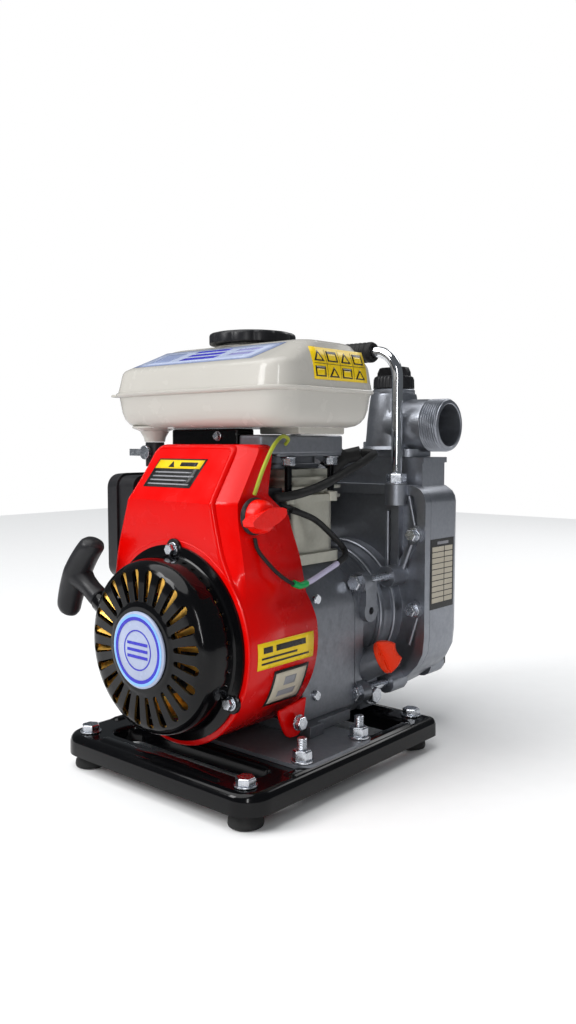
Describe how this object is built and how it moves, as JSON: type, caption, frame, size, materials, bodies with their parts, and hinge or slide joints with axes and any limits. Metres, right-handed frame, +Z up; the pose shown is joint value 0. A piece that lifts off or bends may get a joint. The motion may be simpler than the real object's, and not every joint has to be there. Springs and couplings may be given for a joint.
{
  "type": "portable fire pump",
  "caption": "Portable petrol-engine water pump on a pressed steel base, with recoil starter, fuel tank, carrying handle, threaded outlet and suction port.",
  "frame": {"origin": "on the floor, under the middle of the machine's bounding box", "axes": "+X across the machine towards the delivery outlet, +Y along the crankshaft from the recoil starter to the suction port, +Z up"},
  "size_m": [0.2374, 0.3462, 0.3595],
  "materials": {
    "frame_black": "gloss black enamel",
    "shroud_red": "gloss red enamel",
    "tank_white": "gloss off-white enamel",
    "cast_aluminium": "as-cast grey, slightly blue",
    "barrel_silver": "silver paint on a casting",
    "zinc_steel": "bright zinc plate",
    "chrome": "bright chrome plate",
    "gold_zinc": "yellow zinc plate",
    "cast_iron": "dark grey iron",
    "black_plastic": "moulded black",
    "black_rubber": "matt black",
    "foot_rubber": "matt black rubber round a zinc-plated bolt",
    "red_plastic": "moulded red",
    "orange_plastic": "moulded orange",
    "wire_yellow_green": "PVC sleeve",
    "rope": "braided cord",
    "badge": "white disc with a blue ring"
  },
  "bodies": {
    "chassis": {"base_frame": "frame_black", "foot_front_left": "foot_rubber", "foot_front_right": "foot_rubber", "foot_rear_left": "foot_rubber", "foot_rear_right": "foot_rubber", "mount_bolt_front_left": "zinc_steel", "mount_bolt_front_right": "zinc_steel", "mount_bolt_rear_left": "zinc_steel", "mount_bolt_rear_right": "zinc_steel", "engine_bed_plate": "zinc_steel", "crankcase": "cast_aluminium", "crankcase_cover": "cast_aluminium", "oil_drain_bolt": "zinc_steel", "cylinder_barrel": "barrel_silver", "cylinder_head": "barrel_silver", "rocker_cover": "cast_aluminium", "spark_plug": "zinc_steel", "spark_plug_cap": "black_rubber", "fan_shroud": "shroud_red", "recoil_cover": "frame_black", "recoil_badge": "badge", "starter_rope": "rope", "fuel_tank": "tank_white", "fuel_cock": "black_plastic", "fuel_hose": "black_rubber", "carburettor": "cast_aluminium", "air_filter_base": "black_plastic", "air_filter_cover": "black_plastic", "muffler": "cast_iron", "tank_bracket": "cast_aluminium", "adapter_plate": "cast_aluminium", "pump_casing": "cast_aluminium", "volute": "cast_iron", "suction_port": "cast_aluminium", "discharge_elbow": "cast_aluminium", "handle_rod": "chrome", "handle_grip": "black_rubber", "handle_nut_left": "zinc_steel", "handle_nut_right": "zinc_steel", "ignition_coil": "black_plastic", "ignition_lead": "black_rubber", "stop_switch_body": "black_plastic", "ground_wire": "wire_yellow_green", "stop_wire": "black_rubber"},
    "crank": {"crankshaft": "cast_iron", "flywheel_fan": "cast_aluminium", "starter_cup": "gold_zinc", "impeller": "cast_iron"},
    "piston_body": {"piston": "cast_aluminium"},
    "starter_pulley": {"recoil_pulley": "black_plastic"},
    "grip": {"starter_grip": "black_plastic"},
    "cap_seal": {"fuel_cap_gasket": "black_rubber"},
    "cap": {"fuel_cap": "black_plastic"},
    "cock_lever": {"fuel_cock_lever": "zinc_steel"},
    "choke": {"choke_lever": "black_plastic"},
    "oil_cap": {"oil_filler_cap": "orange_plastic"},
    "priming_plug": {"filler_plug": "black_plastic"},
    "pump_drain": {"drain_plug": "black_plastic"},
    "valve_flap": {"check_valve_flap": "black_rubber"},
    "stop_knob": {"stop_switch_knob": "red_plastic"}
  },
  "joints": [
    {"name": "crank_spin", "type": "hinge", "parent": "chassis", "child": "crank", "pos_m": [0.00525, -0.05695, 0.113], "axis": [0, 1, 0], "continuous": true},
    {"name": "piston_stroke", "type": "slide", "parent": "chassis", "child": "piston_body", "axis": [0, 0, 1], "range_m": [-0.038, 0]},
    {"name": "starter_pull", "type": "slide", "parent": "chassis", "child": "grip", "axis": [-0.8499, 0, 0.5269], "range_m": [0, 0.45], "stiffness_N_per_m": 12, "springref_m": -0.8, "deforming": ["starter_rope"]},
    {"name": "pulley_turn", "type": "hinge", "parent": "chassis", "child": "starter_pulley", "pos_m": [0.00525, -0.15395, 0.113], "axis": [0, 1, 0], "range_deg": [0, 765]},
    {"name": "fuel_cap_lift", "type": "slide", "parent": "chassis", "child": "cap_seal", "axis": [0, 0, 1], "range_m": [0, 0.06]},
    {"name": "fuel_cap_turn", "type": "hinge", "parent": "cap_seal", "child": "cap", "pos_m": [0.00125, -0.04295, 0.354], "axis": [0, 0, 1], "range_deg": [0, 90]},
    {"name": "fuel_cock_turn", "type": "hinge", "parent": "chassis", "child": "cock_lever", "pos_m": [-0.07075, -0.09695, 0.259], "axis": [0, 1, 0], "range_deg": [-90, 0]},
    {"name": "choke_turn", "type": "hinge", "parent": "chassis", "child": "choke", "pos_m": [-0.05875, -0.01495, 0.245], "axis": [0, 0, 1], "range_deg": [0, 70]},
    {"name": "oil_cap_pull", "type": "slide", "parent": "chassis", "child": "oil_cap", "axis": [0.8408, 0.3003, 0.4504], "range_m": [0, 0.05]},
    {"name": "priming_plug_lift", "type": "slide", "parent": "chassis", "child": "priming_plug", "axis": [0, 0, 1], "range_m": [0, 0.06]},
    {"name": "drain_plug_pull", "type": "slide", "parent": "chassis", "child": "pump_drain", "axis": [0, 1, 0], "range_m": [0, 0.05]},
    {"name": "check_valve_swing", "type": "hinge", "parent": "chassis", "child": "valve_flap", "pos_m": [0.00525, 0.11905, 0.216], "axis": [-1, 0, 0], "range_deg": [0, 26]},
    {"name": "stop_switch_turn", "type": "hinge", "parent": "chassis", "child": "stop_knob", "pos_m": [0.07225, -0.11495, 0.213], "axis": [1, 0, 0], "range_deg": [0, 60]}
  ],
  "couplings": [
    {"joint": "pulley_turn", "follows": "starter_pull", "rad_per_m": 29.412}
  ]
}
